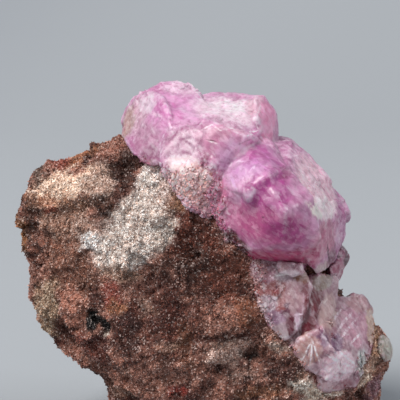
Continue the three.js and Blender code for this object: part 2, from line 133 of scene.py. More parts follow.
# Stained and bleached patches, and painted light and shade on some faces: pixel at the middle, reach in
# millimetres, turn in degrees, colour, share.
rock_zones = {
    "left face": ((62, 222), (5, 5, 3.4), -10, (178, 146, 128), 0.8),
    "brown left": ((66, 268), (5, 5, 5), 0, (152, 110, 92), 0.8),
    "brown right": ((228, 275), (5, 5, 4.5), -20, (140, 86, 70), 0.8),
    "red middle": ((160, 325), (7, 5, 5), 0, (94, 48, 38), 0.7),
    # The ledge's top is painted much lighter than the faces below it: its own paler colour and painted light.
    "lit shelf": ((68, 185), (7.2, 7, 2.1), -14, (255, 234, 214), 1.0),
    "orange lip": ((46, 201), (4.4, 5, 0.8), -8, (218, 168, 138), 0.8),
    "grey shelf": ((100, 180), (3.6, 6, 2.6), -20, (204, 180, 166), 0.9),
    "orange crest": ((80, 156), (3.4, 6, 1.0), -18, (190, 136, 104), 0.8),
    "red crest": ((60, 160), (1.8, 5, 0.9), -20, (172, 98, 84), 0.8),
    "dark end of shelf": ((38, 174), (1.2, 5, 1.8), 0, (108, 96, 88), 0.8),
    "red under lip": ((50, 209), (1.1, 3, 0.5), -10, (160, 82, 64), 0.7),
    # The face under the ledge is painted darker: partly its brown colour, partly painted shade under the
    # ledge.
    "brown under shelf": ((92, 204), (3.4, 4, 1.0), -10, (124, 98, 84), 0.8),
    # Dark band in the hollow beside the nose: partly painted shade in the hollow.
    "dark beside nose": ((31, 222), (1.0, 3, 4.2), 5, (92, 62, 50), 0.9),
    "nose": ((20, 236), (1.1, 5, 3.0), 0, (164, 116, 74), 0.9),
    # The upper left face is painted lighter: its own olive and pinkish tones, partly painted light where it
    # faces the light.
    "olive band": ((44, 316), (2.4, 6, 6.4), 14, (190, 168, 144), 0.9),
    "pinkish band": ((68, 312), (2.6, 5, 4.8), 14, (186, 134, 116), 0.9),
    # The face turned down below the ridge is painted dark red: its own red, and painted shade.
    "dark red face": ((86, 350), (3.4, 5, 2.6), 25, (142, 86, 74), 0.8),
    "red lower rim": ((96, 372), (1.8, 5, 2.2), 20, (120, 80, 66), 0.8),
    "brown foot": ((122, 390), (2.8, 5, 2.2), 0, (140, 106, 88), 0.7),
    "dark hollow": ((125, 170), (2.2, 5, 2.5), 22, (78, 50, 42), 1.0),
    "dark left of patch": ((103, 206), (2.2, 4, 1.9), 30, (96, 68, 58), 0.9),
    "dark foot of patch": ((101, 240), (1.0, 3, 0.8), -25, (100, 74, 66), 0.8),
    "pale patch top": ((155, 182), (3.0, 5, 3.0), 15, (252, 250, 246), 1.0),
    "pale patch middle": ((139, 214), (7.4, 6, 3.0), -28, (240, 234, 228), 1.0),
    "pale patch low": ((123, 251), (5.6, 6, 3.2), -22, (242, 236, 230), 1.0),
    "pale patch left": ((84, 232), (2.8, 4, 2.6), 20, (198, 170, 156), 0.8),
    "whitish spot": ((90, 241), (1.8, 3, 1.5), 0, (246, 248, 248), 1.0),
    "pale patch tail": ((116, 276), (3.6, 4, 1.5), 10, (176, 150, 134), 0.8),
    # Painted shade under the crystals' overhang, over the rock's own dark brown.
    "dark right": ((190, 236), (4.6, 6, 5.6), -20, (112, 62, 48), 1.0),
    "darkest right": ((194, 262), (3.2, 5, 2.8), -20, (80, 48, 38), 0.9),
    "rusty apron": ((179, 199), (1.9, 3, 1.1), 15, (168, 128, 88), 0.9),
    "red seam": ((241, 240), (1.3, 2, 0.8), 25, (146, 52, 40), 0.9),
    "red spot": ((112, 294), (1.5, 3, 2.0), 0, (156, 84, 72), 0.9),
    "orange spot": ((119, 306), (1.6, 3, 0.8), -20, (172, 120, 88), 0.8),
    "violet middle": ((128, 322), (2.6, 4, 1.2), 20, (104, 72, 68), 0.8),
    "pale middle": ((146, 306), (1.4, 3, 1.6), -40, (170, 140, 126), 0.7),
    "pale fleck": ((178, 344), (2.6, 3, 1.1), -20, (176, 142, 122), 0.7),
    # The pit and its tail are painted nearly black: painted shadow in the hole.
    "pit": ((94, 318), (1.5, 4, 1.5), 0, (12, 9, 8), 1.0),
    "pit tail": ((104, 327), (1.5, 4, 1.0), 50, (14, 10, 9), 1.0),
    "pit speck": ((107, 336), (0.6, 2, 0.55), 0, (220, 228, 218), 1.0),
    "rusty knob": ((246, 310), (2.6, 4, 2.8), 25, (146, 92, 66), 0.8),
    "pinkish spot": ((210, 296), (1.8, 3, 1.8), 0, (112, 72, 62), 0.7),
    "pale knob": ((228, 356), (3.4, 4, 2.0), -22, (222, 194, 182), 0.9),
    "lower pale knob": ((240, 376), (2.6, 4, 1.0), -15, (164, 132, 120), 0.7),
    "low hollow": ((252, 354), (1.6, 3, 0.9), -15, (52, 34, 28), 1.0),
    "dark red low": ((282, 368), (3.4, 4, 1.9), 10, (84, 48, 41), 0.9),
    "brown low": ((258, 393), (4.2, 4, 1.2), -5, (158, 112, 86), 0.8),
    "rusty low": ((186, 346), (1.4, 3, 3.4), 0, (126, 82, 62), 0.7),
    "red low": ((180, 394), (1.3, 3, 1.0), 0, (144, 58, 50), 0.7),
    "beside the block": ((254, 260), (1.5, 3, 1.8), 0, (150, 112, 108), 0.8),
    "under the fan": ((294, 349), (1.5, 3, 1.4), 0, (132, 112, 104), 0.9),
    "white foot": ((320, 391), (4.6, 4, 1.4), 5, (250, 240, 226), 1.0),
    "orange by the fan": ((314, 367), (1.7, 3, 1.0), 0, (196, 96, 66), 0.9),
    "red by the fan": ((314, 378), (1.0, 3, 0.8), 0, (160, 62, 42), 0.9),
    "pale right foot": ((360, 378), (1.8, 4, 2.6), -35, (238, 222, 204), 1.0),
    "violet foot": ((375, 390), (1.5, 6, 2.8), 12, (166, 128, 140), 0.9),
    "dark right edge": ((379, 361), (1.2, 5, 1.1), 0, (92, 72, 62), 0.8),
    "tan rim": ((373, 339), (1.5, 6, 2.9), 0, (220, 186, 158), 1.0),
    "grey top of rim": ((370, 320), (1.2, 6, 1.1), 30, (190, 176, 160), 0.8),
    "pinkish by the apron": ((170, 186), (1.8, 3, 3.0), 25, (230, 204, 198), 0.5),
    "pale patch right": ((164, 230), (1.7, 4, 3.6), 12, (232, 224, 216), 1.0),
    "below the slab": ((158, 167), (2.2, 4, 1.8), 0, (255, 250, 248), 1.0),
    "dark below the patch": ((156, 284), (4.0, 4, 1.4), 0, (92, 56, 48), 0.8),
    "dark beside the knob": ((247, 288), (2.4, 4, 1.8), 0, (84, 50, 43), 0.9),
    "dark low left": ((130, 346), (2.0, 3, 1.7), 0, (80, 48, 42), 0.8),
    "dark by the pit": ((99, 343), (1.7, 3, 1.3), 0, (92, 50, 46), 0.8),
    "pale fleck left": ((166, 344), (1.7, 3, 1.0), -10, (176, 138, 122), 0.8),
    "pinkish low": ((171, 374), (3.0, 4, 1.1), 0, (168, 128, 116), 0.7),
    "pale low": ((127, 375), (1.6, 3, 1.5), 0, (170, 134, 120), 0.7),
    "pale low left": ((126, 395), (2.0, 3, 1.2), 0, (176, 140, 124), 0.8),
    "pale by the tip": ((280, 346), (1.9, 3, 1.0), -10, (196, 176, 164), 0.9),
    "pale rim low": ((374, 366), (1.2, 4, 1.6), 0, (196, 168, 150), 0.8),
    # The white foot left of the fan: partly its own white, partly painted light on a face that turns down.
    "white foot left": ((303, 385), (2.2, 3, 1.2), 0, (255, 250, 240), 1.0),
    "pale knob high": ((222, 345), (2.4, 4, 1.0), 0, (176, 146, 132), 0.8),
    "by the pink foot": ((310, 372), (2.4, 4, 1.0), 0, (176, 146, 132), 0.7),
    "grey by the patch": ((103, 222), (1.3, 3, 1.3), -20, (132, 102, 92), 0.6),
    "brown above the shelf": ((68, 204), (3.0, 4, 1.2), 10, (176, 136, 112), 0.6),
    # The lit bridge is painted lighter than the dark rock around it: painted light.
    "lit bridge": ((172, 203), (1.3, 3, 1.4), 0, (150, 112, 92), 0.7),
}


def paint(red, green, blue):
    """A colour given in the usual 0 to 255 steps, as linear light."""
    steps = (channel / 255 for channel in (red, green, blue))
    return (*(step / 12.92 if step <= 0.04045 else ((step + 0.055) / 1.055) ** 2.4 for step in steps), 1)


class Wire:
    """An output of a shader node; sums written with it add Math nodes."""

    def __init__(self, finish, socket):
        self.finish = finish
        self.socket = socket

    def sum(self, operation, first, second):
        return self.finish.node("ShaderNodeMath", {"operation": operation}, {0: first, 1: second})

    def __add__(self, other):
        return self.sum("ADD", self, other)

    def __radd__(self, other):
        return self.sum("ADD", other, self)

    def __sub__(self, other):
        return self.sum("SUBTRACT", self, other)

    def __rsub__(self, other):
        return self.sum("SUBTRACT", other, self)

    def __mul__(self, other):
        return self.sum("MULTIPLY", self, other)

    def __rmul__(self, other):
        return self.sum("MULTIPLY", other, self)


class Finish:
    """A material under construction, with its one Principled shader."""

    def __init__(self, name):
        self.material = bpy.data.materials.new(name)
        self.material.use_nodes = True
        self.tree = self.material.node_tree
        self.shader = self.tree.nodes["Principled BSDF"]

    def node(self, kind, settings, sockets, output=0):
        made = self.tree.nodes.new(kind)
        for name, value in settings.items():
            setattr(made, name, value)
        for key, value in sockets.items():
            if isinstance(value, Wire):
                self.tree.links.new(value.socket, made.inputs[key])
            else:
                made.inputs[key].default_value = value
        return Wire(self, made.outputs[output])

    def feed(self, **sockets):
        """Sets or links the shader's own sockets, named with _ for a space."""
        for name, value in sockets.items():
            socket = self.shader.inputs[name.replace("_", " ")]
            if isinstance(value, Wire):
                self.tree.links.new(value.socket, socket)
            else:
                socket.default_value = value

    def place(self):
        """Where the surface is, in millimetres."""
        metres = self.node("ShaderNodeTexCoord", {}, {}, "Object")
        return self.node("ShaderNodeVectorMath", {"operation": "SCALE"}, {0: metres, "Scale": 1 / millimetre})

    def carried(self, attribute):
        """A number that the mesh carries on its points."""
        return self.node("ShaderNodeAttribute", {"attribute_name": attribute}, {}, "Fac")

    def mix(self, share, below, above, how="MIX"):
        return self.node("ShaderNodeMix", {"data_type": "RGBA", "blend_type": how},
                         {0: share, 6: below, 7: above}, 2)

    def step(self, value, start, end):
        """0 up to start and 1 from end on, with a smooth rise between them."""
        return self.node("ShaderNodeMapRange", {"interpolation_type": "SMOOTHSTEP"},
                         {"Value": value, "From Min": start, "From Max": end})

    def cloud(self, place, size, detail=3, rough=0.55, output=0):
        """Noise with lumps of about the given size in millimetres."""
        return self.node("ShaderNodeTexNoise", {},
                         {"Vector": place, "Scale": 1 / size, "Detail": detail, "Roughness": rough}, output)

    def grains(self, place, size, output="Distance"):
        return self.node("ShaderNodeTexVoronoi", {}, {"Vector": place, "Scale": 1 / size}, output)

    def stretched(self, place, turn, scale):
        """The place turned about all three axes, in degrees, and then scaled."""
        return self.node("ShaderNodeMapping", {"vector_type": "TEXTURE"},
                         {"Vector": place, "Rotation": tuple(map(math.radians, turn)), "Scale": scale})

    def wandering(self, place, size, reach):
        """The place moved about by noise, so that nothing drawn with it has an even rim."""
        stray = self.cloud(place, size, output=1)
        centred = self.node("ShaderNodeVectorMath", {"operation": "SUBTRACT"}, {0: stray, 1: (0.5, 0.5, 0.5)})
        scaled = self.node("ShaderNodeVectorMath", {"operation": "SCALE"}, {0: centred, "Scale": reach})
        return self.node("ShaderNodeVectorMath", {}, {0: place, 1: scaled})

    def spot(self, place, middle, reach, turn, edge):
        """1 within reach millimetres of a middle, fading to 0 around the rim."""
        local = self.node("ShaderNodeMapping", {"vector_type": "TEXTURE"}, {
            "Vector": place, "Location": middle, "Rotation": (0, math.radians(turn), 0), "Scale": reach})
        distance = self.node("ShaderNodeVectorMath", {"operation": "LENGTH"}, {0: local}, "Value")
        return self.step(distance, 1 + edge, 1 - edge)

    def stain(self):
        """The colour that the mesh carries on its points."""
        return self.node("ShaderNodeAttribute", {"attribute_name": "stain"}, {}, "Color")


def settle(piece):
    """Turns a piece's modifiers into plain mesh."""
    shown = piece.evaluated_get(bpy.context.evaluated_depsgraph_get())
    mesh = bpy.data.meshes.new_from_object(shown)
    piece.modifiers.clear()
    piece.data = mesh


def evened(piece, mesh_size, growth=0):
    """Grows a piece by some millimetres and gives it an even mesh, in which all that meets is joined."""
    swell = piece.modifiers.new("growth", "DISPLACE")
    swell.strength = growth * millimetre
    swell.mid_level = 0
    remesh = piece.modifiers.new("even mesh", "REMESH")
    remesh.mode = "VOXEL"
    remesh.voxel_size = mesh_size * millimetre


def fine_copy(node, name, mesh_size, closing=0):
    """A closed copy of a CAD node with an even, fine mesh; gaps up to about twice the closing are filled."""
    form = bmesh.new()
    form.from_mesh(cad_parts[node].data)
    bmesh.ops.remove_doubles(form, verts=form.verts, dist=1e-6)
    mesh = bpy.data.meshes.new(name)
    form.to_mesh(mesh)
    piece = bpy.data.objects.new(name, mesh)
    bpy.context.scene.collection.objects.link(piece)
    if closing:
        for growth in (0, closing, -closing - closing_slack):
            evened(piece, mesh_size, growth)
        settle(piece)
        form.from_mesh(piece.data)
        form.to_mesh(piece.data)
    form.free()
    evened(piece, mesh_size)
    settle(piece)
    return piece


def spots_of(piece):
    """Every vertex of a piece, in millimetres, one to a row."""
    spots = np.zeros(len(piece.data.vertices) * 3)
    piece.data.vertices.foreach_get("co", spots)
    return spots.reshape(-1, 3) / millimetre


def outs_of(piece):
    """The outward direction at every vertex of a piece."""
    outs = np.zeros(len(piece.data.vertices) * 3)
    piece.data.vertex_normals.foreach_get("vector", outs)
    return outs.reshape(-1, 3)


def moved(piece, spots):
    """Puts the vertices of a piece at new places in millimetres."""
    piece.data.vertices.foreach_set("co", (spots * millimetre).ravel())
    piece.data.update()


def carry(piece, attribute, values):
    """Stores one number for each vertex."""
    layer = piece.data.attributes.new(attribute, "FLOAT", "POINT")
    layer.data.foreach_set("value", values)


def eased(value, low, high):
    """0 at low and 1 at high, with a smooth rise between them."""
    share = np.clip((value - low) / (high - low), 0, 1)
    return share * share * (3 - 2 * share)


def everywhere(spots, height):
    """A height worked out at every spot by a function of one place."""
    return np.array([height(Vector(spot)) for spot in spots])


def chipped(place, size, lean):
    """Height of a broken surface: each cell is a flat chip that leans its own way."""
    spot = place / size
    middle = noise.voronoi(spot)[1][0]
    slope = noise.cell_vector(middle * 61.7)
    return (spot - middle).dot(slope * 2 - Vector((1, 1, 1))) * size * lean


def along_lines(spots, ridges):
    """The rise of each spot by the lines that pass near it."""
    rise = np.zeros(len(spots))
    for pixels, half_width, height in ridges.values():
        knots = [np.array(seen_at(*pixel)) for pixel in pixels]
        nearest = np.full(len(spots), 1e3)
        for start, end in zip(knots, knots[1:]):
            run = end - start
            share = np.clip((spots - start) @ run / (run @ run), 0, 1)
            away = np.linalg.norm(spots - start - share[:, None] * run, axis=1)
            nearest = np.minimum(nearest, away)
        rise += height * np.exp(-(nearest / half_width) ** 2)
    return rise


cloud_layers = ((5, 1.0), (1.8, 0.7), (0.7, 0.5))  # sizes in millimetres and shares of the colour's clouds
clump_size = 0.9
fleck_size = 0.7


def clouded(place):
    """Where the colour is dark, below 0, and where it is light, above 0."""
    return sum(noise.noise(place / size) * share for size, share in cloud_layers)


def stained(piece, spots, tones, clumps, stray, fade, zones, contact):
    """Stores a colour for each vertex: clouds of the first two tones, with each zone's own laid over them in
    turn, and all of it in lighter and darker clumps. Flecks of the third are strewn where contact says."""
    dark, light, contact_tone = (np.array(paint(*tone)) for tone in tones)
    strays = [noise.noise_vector(Vector(spot) / stray) + noise.noise_vector(Vector(spot) / stray * 4) * 0.5
              for spot in spots]
    strayed = spots + np.array(strays) * stray * 0.6
    cloud = everywhere(spots, clouded)
    colour = dark + np.outer(eased(cloud, -0.6, 0.6), light - dark)
    for pixel, reach, turn, tone, share in zones.values():
        turned = np.array(Matrix.Rotation(math.radians(turn), 3, "Y"))
        local = (strayed - np.array(seen_at(*pixel))) @ turned / np.array(reach)
        mask = eased(np.linalg.norm(local, axis=1), 1 + fade, 1 - fade) * share
        colour += mask[:, None] * (np.array(paint(*tone)) - colour)
    clump = everywhere(spots, lambda place: noise.noise(place / clump_size + Vector((7, 3, 5))))
    colour[:, :3] *= 1 + clumps * np.clip(clump, -0.6, 0.6)[:, None]
    flecks = contact * eased(everywhere(spots, lambda place: noise.noise(place / fleck_size)), -0.3, 0.3)
    colour += flecks[:, None] * (contact_tone - colour)
    layer = piece.data.attributes.new("stain", "FLOAT_COLOR", "POINT")
    layer.data.foreach_set("color", colour.ravel())


def distance_to(spots, names):
    """How far each spot is from the nearest of the named solids."""
    trees = [solid_trees[name] for name in names]
    return np.array([min(tree.find_nearest(Vector(spot))[3] for tree in trees) for spot in spots])


def belongs(piece, finish):
    """Gives a piece its material and ties it to the one body."""
    piece.data.materials.append(finish.material)
    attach(piece, "root")


def rock_height(place):
    """Height of the broken rock: chips of several sizes, faint bedding and broad swells."""
    wander = place + noise.noise_vector(place / 3) * 1.2
    height = sum(chipped(wander, size, lean) for size, lean in rock_chips)
    layer = Matrix.Rotation(-bedding_tilt, 3, "Y") @ place
    bedding = noise.noise(Vector(side / stretch for side, stretch in zip(layer, bedding_stretch)))
    return height + noise.noise(place / rock_swell_size) * rock_swell_height + bedding * bedding_rise


crystal_nodes = ("upper_calcite", "lower_calcite", "edge_crystal", "rim_plate")
rock = fine_copy("host_rock", "rock_ground", rock_mesh_size)
rock_spots = spots_of(rock)
to_crystals = distance_to(rock_spots, crystal_nodes)
to_calcite = distance_to(rock_spots, crystal_nodes[:3])
above_foot = eased(rock_spots[:, 2], 0.2, foot_margin)
rise = everywhere(rock_spots, rock_height) * above_foot
clear_of_crystals = eased(to_crystals, 0.2, 1.2)
rise = (rise + along_lines(rock_spots, rock_ridges)) * clear_of_crystals - rock_skin
rise += rock_climb * eased(to_calcite, 1.6, 0.3) * above_foot
rock_spots += outs_of(rock) * rise[:, None]
rock_spots[:, 2] = np.maximum(rock_spots[:, 2], 0)
moved(rock, rock_spots)
rock_tones = ((92, 54, 45), (186, 138, 122), (196, 150, 148))  # dark, light and flecks beside the calcite
near_calcite = eased(to_calcite, 1.5, 0.2) * 0.5
stained(rock, rock_spots, rock_tones, clumps=0.65, stray=2.2, fade=0.2, zones=rock_zones,
        contact=near_calcite)

rock_finish = Finish("sugary rock ground")
rock_place = rock_finish.place()
# The ground between the grains is painted darker, most of all along the rims of small cells: painted shade
# between the grains.
ground_in_painted_shade = rock_finish.mix(1.0, rock_finish.stain(), paint(206, 194, 188), "MULTIPLY")
gaps = rock_finish.step(rock_finish.grains(rock_place, 0.4), 0.2, 0.7)
ground = rock_finish.mix(gaps * 0.3, ground_in_painted_shade, paint(52, 34, 29))
rock_bump = rock_finish.node("ShaderNodeBump", {}, {
    "Strength": 0.5, "Distance": 0.12 * millimetre, "Height": rock_finish.cloud(rock_place, 0.3, 2)})
rock_finish.feed(Base_Color=ground, Roughness=0.8, Normal=rock_bump)
rock.data.shade_smooth()
belongs(rock, rock_finish)
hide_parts("host_rock")

# Sugary grains. The rock's skin is a crust of small carbonate crystals, up to half a millimetre across and
# half sunk in each other, each turned its own way, so that some glint and the gaps between them stay dark.
grain_size = (0.18, 0.38)
grain_spacing = 0.205
grain_shear = 0.27
grain_foot_margin = 0.8  # no grain stands lower, so that none reaches below the foot
rim_plate_margin = 0.5
middle_depth = drawing_zero.y - 2
any_way = math.pi


def small_crystal(name, facets):
    """A crystal about a unit wide, sheared to calcite's angle: a rhomb of 6 facets or a grain of 4."""
    form = bmesh.new()
    if facets == 6:
        bmesh.ops.create_cube(form, size=1)
    else:
        bmesh.ops.create_cone(form, cap_ends=True, segments=3, radius1=0.72, radius2=0, depth=1)
    shear = Matrix(((1, grain_shear, grain_shear), (0, 1, grain_shear), (0, 0, 1)))
    bmesh.ops.transform(form, matrix=shear.to_4x4(), verts=form.verts)
    mesh = bpy.data.meshes.new(name)
    form.to_mesh(mesh)
    form.free()
    crystal = bpy.data.objects.new(name, mesh)
    bpy.context.scene.collection.objects.link(crystal)
    return crystal


def scattered(ground, name, where, crystal, spacing, sizes, lean, seed, grain=None):
    """A piece made of copies of a small crystal, strewn over the ground where its attribute says."""
    group = bpy.data.node_groups.new(name, "GeometryNodeTree")
    group.interface.new_socket("Geometry", in_out="INPUT", socket_type="NodeSocketGeometry")
    group.interface.new_socket("Geometry", in_out="OUTPUT", socket_type="NodeSocketGeometry")

    def node(kind, settings, sockets):
        made = group.nodes.new(kind)
        for key, value in settings.items():
            setattr(made, key, value)
        for key, value in sockets.items():
            if isinstance(value, bpy.types.NodeSocket):
                group.links.new(value, made.inputs[key])
            else:
                made.inputs[key].default_value = value
        return made

    start = node("NodeGroupInput", {}, {})
    chance = node("GeometryNodeInputNamedAttribute", {"data_type": "FLOAT"}, {"Name": where})
    points = node("GeometryNodeDistributePointsOnFaces", {"distribute_method": "POISSON"}, {
        "Mesh": start.outputs[0], "Distance Min": spacing * millimetre,
        "Density Max": 4 / (spacing * millimetre) ** 2, "Density Factor": chance.outputs[0], "Seed": seed})
    source = node("GeometryNodeObjectInfo", {}, {"Object": crystal})
    turn = points.outputs["Rotation"]
    if grain:
        turn = node("FunctionNodeAlignRotationToVector", {"axis": "X", "pivot_axis": "Z"},
                    {"Rotation": turn, "Vector": grain}).outputs[0]
    tilt = node("FunctionNodeRandomValue", {"data_type": "FLOAT_VECTOR"},
                {0: (-lean, -lean, -lean), 1: (lean, lean, lean), "Seed": seed + 1})
    turned = node("FunctionNodeRotateRotation", {"rotation_space": "LOCAL"},
                  {"Rotation": turn, "Rotate By": tilt.outputs[0]})
    smallest, largest = (Vector(size) * millimetre for size in sizes)
    size = node("FunctionNodeRandomValue", {"data_type": "FLOAT_VECTOR"},
                {0: smallest, 1: largest, "Seed": seed + 2})
    copies = node("GeometryNodeInstanceOnPoints", {}, {
        "Points": points.outputs[0], "Instance": source.outputs["Geometry"],
        "Rotation": turned.outputs[0], "Scale": size.outputs[0]})
    tint = node("FunctionNodeRandomValue", {"data_type": "FLOAT"}, {"Seed": seed + 3})
    tinted = node("GeometryNodeStoreNamedAttribute", {"data_type": "FLOAT", "domain": "INSTANCE"}, {
        "Geometry": copies.outputs[0], "Name": "tint", "Value": tint.outputs[1]})
    whole = node("GeometryNodeRealizeInstances", {}, {"Geometry": tinted.outputs[0]})
    node("NodeGroupOutput", {}, {0: whole.outputs[0]})

    piece = bpy.data.objects.new(name, ground.data.copy())
    bpy.context.scene.collection.objects.link(piece)
    modifier = piece.modifiers.new("strewn crystals", "NODES")
    modifier.node_group = group
    settle(piece)
    piece.data.materials.clear()
    return piece


def sugary_finish(name):
    """Small glinting grains in the colour of the ground, some of them darker and some paler: lit and shaded
    copies of that colour, partly painted light and shade.
    """
    finish = Finish(name)
    tint = finish.carried("tint")
    stain = finish.stain()
    # Shaded and lit copies of the stain: painted shade and painted light on single grains.
    shaded = finish.mix(1.0, stain, paint(150, 130, 124), "MULTIPLY")
    rusty = finish.mix(1.0, stain, paint(244, 224, 214), "MULTIPLY")
    brighter = finish.node("ShaderNodeVectorMath", {"operation": "SCALE"}, {0: stain, "Scale": 1.1})
    lit = finish.mix(0.36, brighter, paint(226, 208, 200))
    tone = finish.mix(finish.step(tint, 0.6, 0.5), stain, rusty)
    tone = finish.mix(finish.step(tint, 0.4, 0.1), tone, shaded)
    tone = finish.mix(finish.step(tint, 0.74, 0.96), tone, lit)
    finish.feed(Base_Color=tone, Roughness=0.5, Specular_IOR_Level=0.35)
    return finish


grain_finish = sugary_finish("sugary grains")
rock_spots = spots_of(rock)
bare = (rock_spots[:, 2] > grain_foot_margin) * eased(to_calcite, 0.05, 0.3)
bare *= distance_to(rock_spots, ("rim_plate",)) > rim_plate_margin
at_back = rock_spots[:, 1] > middle_depth
at_right = rock_spots[:, 0] > 0
rock_sides = {
    "front_left": ~at_back & ~at_right,
    "front_right": ~at_back & at_right,
    "back_left": at_back & ~at_right,
    "back_right": at_back & at_right,
}
for side, part in rock_sides.items():
    carry(rock, side, part * bare)
rock_grain = small_crystal("rock_grain", 4)
grain_sizes = ((grain_size[0],) * 3, (grain_size[1],) * 3)
for seed, side in enumerate(rock_sides):
    strewn = scattered(rock, f"rock_grains_{side}", side, rock_grain, grain_spacing, grain_sizes, any_way,
                       seed)
    belongs(strewn, grain_finish)

# Upper calcite. Cobalt-bearing calcite crystals grown together along the rock's upper right edge: glassy and
# cloudy, pale pink on the crown and deep magenta in the large crystal, with cleavage steps and white veils.
upper_mesh_size = 0.245
calcite_growth = 0.12
seam_growth = 0.1  # more where a crystal grows out of the rock, so that the seam is closed
gap_closing = 0.65  # gaps between the crystals are filled up to about twice this width
upper_zones = {
    "crown": ((176, 110), (5.2, 6, 4.0), 0, (226, 160, 204), 1.0),
    "crown deep": ((169, 112), (1.9, 4, 2.2), 10, (214, 124, 184), 0.9),
    "crown rim": ((186, 88), (3.0, 5, 0.9), 0, (238, 204, 224), 0.8),
    "crown right": ((193, 108), (2.0, 4, 2.4), 0, (224, 164, 206), 0.8),
    "shoulder": ((137, 116), (2.4, 5, 3.2), 0, (216, 176, 192), 0.9),
    "white cap": ((148, 104), (2.0, 4, 1.3), -20, (242, 222, 234), 0.8),
    "tan edge": ((129, 124), (1.1, 4, 2.8), 10, (184, 146, 136), 0.9),
    "mauve": ((147, 141), (2.4, 4, 3.0), 10, (192, 136, 166), 0.9),
    "deep mauve": ((153, 155), (1.8, 3, 1.4), 0, (164, 100, 134), 0.9),
    "slab": ((183, 144), (3.3, 4, 3.0), 0, (190, 134, 164), 1.0),
    # The slab's white foot: partly its own white, partly a painted highlight.
    "slab foot": ((182, 161), (2.6, 3, 0.9), 5, (255, 240, 248), 0.9),
    "pale block": ((228, 110), (5.2, 6, 2.5), 6, (252, 226, 238), 1.0),
    # Painted highlight on the pale block.
    "glint": ((237, 109), (1.3, 3, 0.8), -25, (252, 244, 248), 0.9),
    "block right": ((254, 108), (1.3, 4, 2.2), 15, (232, 186, 204), 0.9),
    "rose slope": ((226, 136), (4.0, 4, 1.6), 5, (216, 154, 182), 1.0),
    "lower rose": ((213, 152), (2.2, 4, 1.8), 0, (212, 144, 178), 0.9),
    "right lobe": ((266, 121), (1.6, 5, 3.6), 8, (255, 166, 206), 1.0),
    "lilac face": ((238, 164), (3.0, 5, 3.8), -15, (212, 156, 196), 1.0),
    "upper magenta": ((264, 158), (3.4, 5, 2.6), 35, (196, 100, 166), 1.0),
    "flecked foot": ((250, 172), (2.6, 4, 1.3), -20, (222, 160, 212), 0.7),
    "magenta band": ((266, 196), (3.6, 5, 2.8), -10, (182, 66, 146), 1.0),
    # The dark seam under the cleavage step: partly the crystal's deeper magenta, partly painted shade under
    # the step.
    "dark seam": ((284, 174), (1.8, 3, 0.7), -25, (150, 56, 112), 0.9),
    "belly": ((264, 226), (6.4, 6, 3.0), 10, (204, 98, 152), 1.0),
    "belly left": ((226, 212), (2.2, 4, 3.6), -10, (206, 116, 160), 0.9),
    "belly deep": ((286, 229), (3.2, 4, 1.9), 10, (178, 50, 132), 0.9),
    "frosted flank": ((310, 180), (3.6, 8, 6.6), 38, (255, 212, 226), 1.0),
    "flank rim": ((328, 192), (1.8, 8, 6.0), 32, (248, 206, 218), 0.8),
    "flank foot": ((322, 240), (3.2, 6, 3.0), 0, (202, 116, 146), 0.9),
    "under the spot": ((330, 230), (1.6, 4, 1.6), 0, (206, 126, 158), 0.8),
    # The white spot: partly frosted white, partly a painted highlight.
    "white spot": ((315, 210), (2.0, 3, 0.9), 40, (240, 224, 220), 1.0),
    "lobe of the belly": ((304, 256), (2.8, 5, 1.8), 30, (186, 66, 112), 0.9),
    # The underside is painted brighter magenta than its shade allows: painted light, standing in for light
    # shining through the crystal.
    "underside": ((276, 256), (4.6, 6, 2.0), 8, (196, 56, 112), 1.0),
    "lip": ((321, 268), (1.7, 3, 0.8), 0, (196, 168, 164), 0.9),
    "dark foot": ((330, 256), (0.8, 4, 1.6), 0, (112, 42, 66), 0.8),
    "small rhomb": ((249, 196), (0.6, 2, 0.9), 15, (202, 162, 192), 0.9),
    "apron": ((192, 184), (4.6, 5, 3.2), 30, (255, 214, 212), 1.0),
    "apron foot": ((211, 203), (2.6, 4, 2.2), 30, (226, 168, 176), 0.9),
    "crease": ((204, 160), (0.4, 3, 1.2), 15, (164, 90, 120), 0.8),
    "black dot": ((264, 216), (0.24, 2, 0.22), 0, (60, 10, 40), 1.0),
    "left of the crystal": ((218, 196), (1.5, 3, 4.0), -5, (214, 132, 168), 0.9),
    # A lighter patch over the groove between the rose slope and the large crystal: painted light against the
    # groove's shade.
    "above the crystal": ((244, 146), (2.8, 3, 1.1), -42, (255, 206, 234), 1.0),
    "right of the slope": ((254, 138), (1.6, 3, 1.1), -20, (224, 132, 190), 0.9),
    "belly left rim": ((236, 241), (2.8, 3, 1.1), 38, (104, 48, 50), 1.0),
    # Painted light: the flank's foot turns away from the light and is painted near white.
    "bright flank foot": ((324, 208), (4.2, 5, 1.6), 8, (255, 232, 236), 1.0),
}
